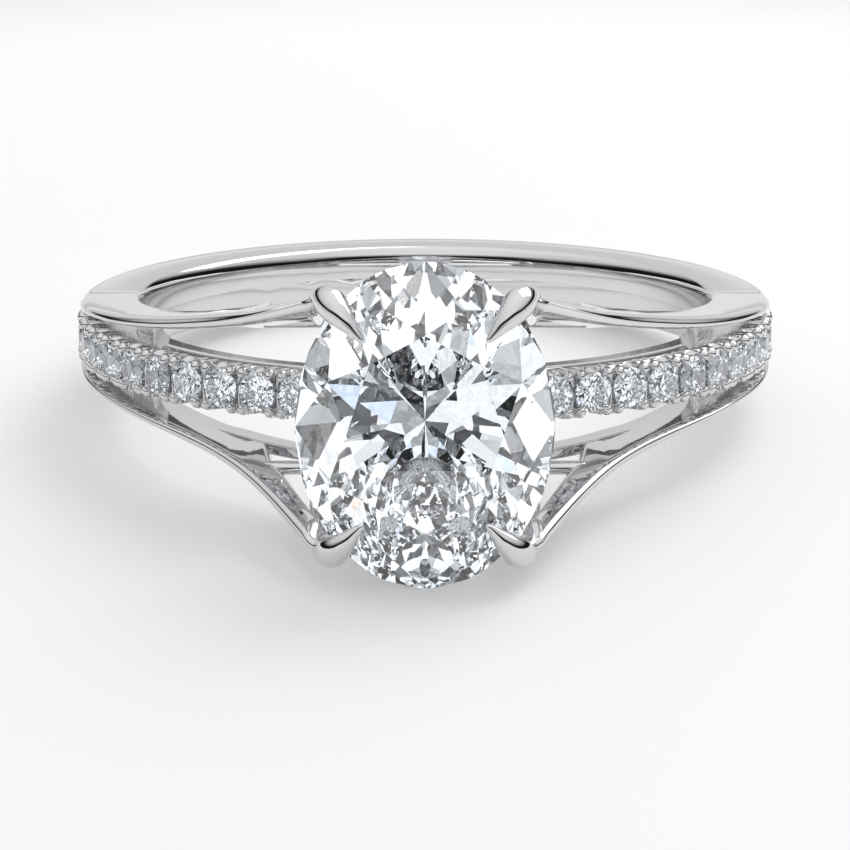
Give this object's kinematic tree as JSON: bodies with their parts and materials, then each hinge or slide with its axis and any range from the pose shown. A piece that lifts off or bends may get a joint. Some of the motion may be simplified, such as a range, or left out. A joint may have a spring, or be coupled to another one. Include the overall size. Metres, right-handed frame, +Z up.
{
  "type": "finger ring",
  "caption": "Split shank finger ring: an oval stone in four claws on two bare arms, with a row of small round stones between them.",
  "frame": {"origin": "on the floor, under the middle of the bounding box of the ring as it lies on its side", "axes": "+Z up; the ring lies on its side with its head and stone towards -Y and the back of the shank towards +Y; +X across the stone; the finger hole's axis leans 8.4 degrees from +Z towards +Y"},
  "size_m": [0.021, 0.0253, 0.0089],
  "materials": {
    "white_metal": "highly polished white gold",
    "clear_stone": "polished facets"
  },
  "bodies": {
    "root": {"ring_metal": "white_metal", "centre_stone": "clear_stone", "side_stone_r01": "clear_stone", "side_stone_r02": "clear_stone", "side_stone_r03": "clear_stone", "side_stone_r04": "clear_stone", "side_stone_r05": "clear_stone", "side_stone_r06": "clear_stone", "side_stone_r07": "clear_stone", "side_stone_r08": "clear_stone", "side_stone_r09": "clear_stone", "side_stone_r10": "clear_stone", "side_stone_r11": "clear_stone", "side_stone_l01": "clear_stone", "side_stone_l02": "clear_stone", "side_stone_l03": "clear_stone", "side_stone_l04": "clear_stone", "side_stone_l05": "clear_stone", "side_stone_l06": "clear_stone", "side_stone_l07": "clear_stone", "side_stone_l08": "clear_stone", "side_stone_l09": "clear_stone", "side_stone_l10": "clear_stone", "side_stone_l11": "clear_stone"}
  },
  "joints": []
}
